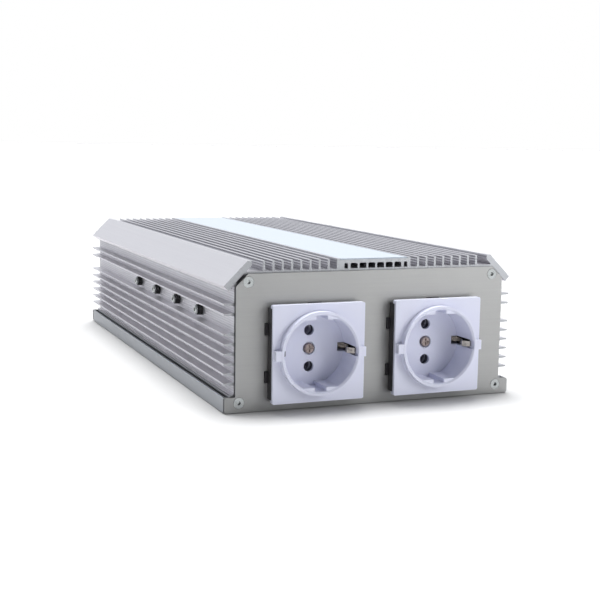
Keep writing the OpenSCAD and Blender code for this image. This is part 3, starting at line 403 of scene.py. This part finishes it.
def jacketFinish(name, light, dark, stripe=None):
    # plain cable insulation, slightly dusty, with a stripe down one side where one is given
    jacket = Finish(name)
    fine = jacket.grain(jacket.place(), 700, 3)
    colour = jacket.mix(fine, dark, light)
    if stripe:
        colour = jacket.mix(jacket.step(jacket.facing()[0], 0.0, 0.1), colour, stripe)
    jacket.bump(fine, 0.00005)
    return jacket.set(baseColor=colour, roughness=jacket.between(fine, 0.4, 0.6))


def floorFinish():
    # matt studio paper
    paper = Finish("floorPaper", roughness=0.9)
    fine = paper.grain(paper.place(), 60, 2)
    return paper.set(baseColor=paper.mix(fine * 0.2, studio["floorColour"], studio["floorSpeck"]))


# what goes on each material slot: name, light and dark tone, and for most of them the roughness range
finishes = {
    "anodised_aluminium": extrudedFinish("caseMetal", aluminium["caseLight"], aluminium["caseDark"], True),
    "bar_aluminium": extrudedFinish("barMetal", aluminium["barLight"], aluminium["barDark"], False),
    "tray_aluminium": extrudedFinish("trayMetal", aluminium["trayLight"], aluminium["trayDark"], False),
    "panel_aluminium": panelFinish("panelMetal"),
    "plate_film": filmFinish("plateFilm"),
    "zinc_steel": turnedFinish("zincPlate", (0.47, 0.49, 0.49), (0.22, 0.235, 0.24), 0.16, 0.32),
    "chromed_wire": turnedFinish("chromedWire", (0.86, 0.86, 0.87), (0.55, 0.55, 0.56), 0.08, 0.25),
    "contact_brass": turnedFinish("platedContact", (0.62, 0.62, 0.74), (0.44, 0.44, 0.54), 0.4, 0.6, metallic=0.2),
    "stud_brass": turnedFinish("studBrass", (0.85, 0.68, 0.33), (0.52, 0.38, 0.16), 0.22, 0.42),
    # earth clip: dark tones and heavy dull patches are painted shade for the shadowed slot it sits in
    "clip_metal": turnedFinish("shadedClipMetal", (0.40, 0.375, 0.36), (0.16, 0.15, 0.145), 0.16, 0.3, dull=0.6),
    "socket_screw_metal": turnedFinish(
        "socketScrewMetal", (0.30, 0.25, 0.24), (0.12, 0.095, 0.09), 0.25, 0.45, dull=0.5),
    "white_plastic": mouldedFinish("whitePlastic", (0.69, 0.705, 0.83), (0.66, 0.675, 0.81), 0.26, 0.36),
    "black_plastic": mouldedFinish("blackPlastic", (0.022, 0.020, 0.024), (0.012, 0.011, 0.014), 0.38, 0.55),
    "insert_plastic": mouldedFinish("insertPlastic", (0.13, 0.13, 0.17), (0.10, 0.10, 0.13), 0.4, 0.6),
    "washer_black": mouldedFinish("blackWasher", (0.02, 0.02, 0.022), (0.010, 0.010, 0.011), 0.5, 0.7),
    "epoxy_black": mouldedFinish("mouldedEpoxy", (0.030, 0.030, 0.033), (0.016, 0.016, 0.018), 0.45, 0.65, 0.00006),
    "terminal_black": mouldedFinish("terminalBlack", (0.024, 0.024, 0.026), (0.014, 0.014, 0.015), 0.3, 0.45),
    "red_plastic": mouldedFinish("terminalRed", (0.50, 0.022, 0.018), (0.38, 0.015, 0.012), 0.28, 0.42),
    "rocker_red": mouldedFinish("rockerRed", (0.55, 0.020, 0.015), (0.42, 0.014, 0.010), 0.2, 0.32),
    "fuse_orange": mouldedFinish("fuseOrange", (0.72, 0.20, 0.02), (0.60, 0.14, 0.015), 0.2, 0.32),
    "ferrite": mouldedFinish("ferriteCore", (0.060, 0.058, 0.060), (0.030, 0.029, 0.030), 0.5, 0.75, 0.0001),
    "choke_ring": mouldedFinish("chokeRing", (0.62, 0.53, 0.10), (0.48, 0.40, 0.07), 0.4, 0.6, 0.0001),
    "board_green": boardFinish("boardGreen"),
    "enamelled_copper": windingFinish("enamelledCopper", (0.62, 0.22, 0.06), (0.25, 0.07, 0.02), 70),
    "winding_tape": tapeFinish("windingTape", (0.72, 0.50, 0.08), (0.42, 0.26, 0.03), 140),
    "capacitor_blue": sleevedFinish("blueSleeve", (0.015, 0.03, 0.14), (0.6, 0.62, 0.66)),
    "capacitor_black": sleevedFinish("blackSleeve", (0.012, 0.012, 0.014), (0.55, 0.55, 0.56)),
    "lens_green": lensFinish("greenLens", (0.02, 0.55, 0.08), (0.01, 0.30, 0.04)),
    "lens_red": lensFinish("redLens", (0.60, 0.02, 0.02), (0.32, 0.01, 0.01)),
    "cable_red": jacketFinish("redJacket", (0.52, 0.02, 0.015), (0.36, 0.014, 0.010)),
    "cable_black": jacketFinish("blackJacket", (0.025, 0.025, 0.026), (0.012, 0.012, 0.013)),
    "cable_brown": jacketFinish("brownJacket", (0.16, 0.06, 0.025), (0.10, 0.035, 0.015)),
    "cable_blue": jacketFinish("blueJacket", (0.025, 0.10, 0.42), (0.015, 0.06, 0.28)),
    "cable_green_yellow": jacketFinish("earthJacket", (0.03, 0.26, 0.05), (0.02, 0.18, 0.03), (0.75, 0.62, 0.05)),
}

floor.data.materials.append(floorFinish())
slotOf = {}
for name, node in nodes.items():
    for slot in node.material_slots:
        slotOf[name] = slot.material.name.split(".")[0]
        slot.material = finishes[slotOf[name]]
print("finishes are on all nodes")


# pieces with eased edges: a merged copy of the node, bevelled

eased = {  # node: edge radius in metres, rounds
    "heat_sink_shell": (0.00012, 1),
    "base_tray": (0.00025, 2),
    "front_panel": (0.00020, 2),
    "rear_panel": (0.00020, 2),
    "left_socket_cover": (0.00055, 3),
    "right_socket_cover": (0.00055, 3),
    "left_socket_frame": (0.00025, 2),
    "right_socket_frame": (0.00025, 2),
    "switch_housing": (0.0003, 2),
    "switch_rocker": (0.0004, 3),
    "positive_terminal_base": (0.0005, 3),
    "negative_terminal_base": (0.0005, 3),
}

# turns below sharpAngle stay smooth; flatAngle and weldGap merge the split faces of one flat side
easing = {"sharpAngle": math.radians(30), "flatAngle": math.radians(0.3), "weldGap": 0.000002}


def easedCopy(name, radius, rounds):
    node = nodes[name]
    piece = bpy.data.objects.new(name + "_eased", node.data.copy())
    bpy.context.collection.objects.link(piece)
    bpy.ops.object.select_all(action="DESELECT")
    bpy.context.view_layer.objects.active = piece
    piece.select_set(True)
    bpy.ops.mesh.customdata_custom_splitnormals_clear()
    bpy.ops.object.mode_set(mode="EDIT")
    bpy.ops.mesh.select_all(action="SELECT")
    bpy.ops.mesh.remove_doubles(threshold=easing["weldGap"])
    bpy.ops.mesh.dissolve_limited(angle_limit=easing["flatAngle"])
    bpy.ops.object.mode_set(mode="OBJECT")
    bevel = piece.modifiers.new("easedEdges", "BEVEL")
    bevel.width, bevel.segments = radius, rounds
    bevel.limit_method, bevel.angle_limit = "ANGLE", easing["sharpAngle"]
    bevel.miter_outer = "MITER_ARC"
    bevel.harden_normals = True
    bpy.ops.object.shade_smooth_by_angle(angle=easing["sharpAngle"])
    bpy.ops.object.modifier_apply(modifier=bevel.name)
    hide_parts(name)
    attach(piece, node["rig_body"])
    return piece


for name, (radius, rounds) in eased.items():
    piece = easedCopy(name, radius, rounds)
    print(name, "eased:", len(piece.data.polygons), "faces")


# black edge of the support frame that stands out behind each socket cover

surround = {
    "outset": 0.0002,  # past the cover at left and right
    "inset": 0.0018,  # short of the cover at top and bottom
    "width": 0.0022, "depth": 0.0054, "edge": 0.0003, "rounds": 2, "slot": "black_plastic",
}


def surroundBars(name):
    # place and size of each bar of the ring: left, right, bottom, top
    low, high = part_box(name + "_cover")
    sill, lintel = low[2] + surround["inset"], high[2] - surround["inset"]
    left, right = low[0] - surround["outset"], high[0] + surround["outset"]
    across, up = (left + right) / 2, (sill + lintel) / 2
    width, depth = surround["width"], surround["depth"]
    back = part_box("front_panel")[0][1] - depth / 2
    upright = (width, depth, lintel - sill)
    level = (right - left - 2 * width, depth, width)
    return [
        ((left + width / 2, back, up), upright),
        ((right - width / 2, back, up), upright),
        ((across, back, sill + width / 2), level),
        ((across, back, lintel - width / 2), level),
    ]


def coverSurround(name):
    bars = []
    for place, size in surroundBars(name):
        bpy.ops.object.select_all(action="DESELECT")
        bpy.ops.mesh.primitive_cube_add(size=1, location=place)
        bar = bpy.context.object
        bar.scale = size
        bpy.ops.object.transform_apply(location=True, rotation=False, scale=True)
        bars.append(bar)
    for bar in bars:
        bar.select_set(True)
    bpy.context.view_layer.objects.active = bars[0]
    bpy.ops.object.join()
    ring = bpy.context.object
    ring.name = name + "_surround"
    bevel = ring.modifiers.new("softEdges", "BEVEL")
    bevel.width, bevel.segments = surround["edge"], surround["rounds"]
    bpy.ops.object.modifier_apply(modifier=bevel.name)
    ring.data.materials.append(finishes[surround["slot"]])
    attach(ring, nodes[name + "_cover"]["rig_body"])
    return ring


for name in ("left_socket", "right_socket"):
    print(name, "surround:", len(coverSurround(name).data.polygons), "faces")
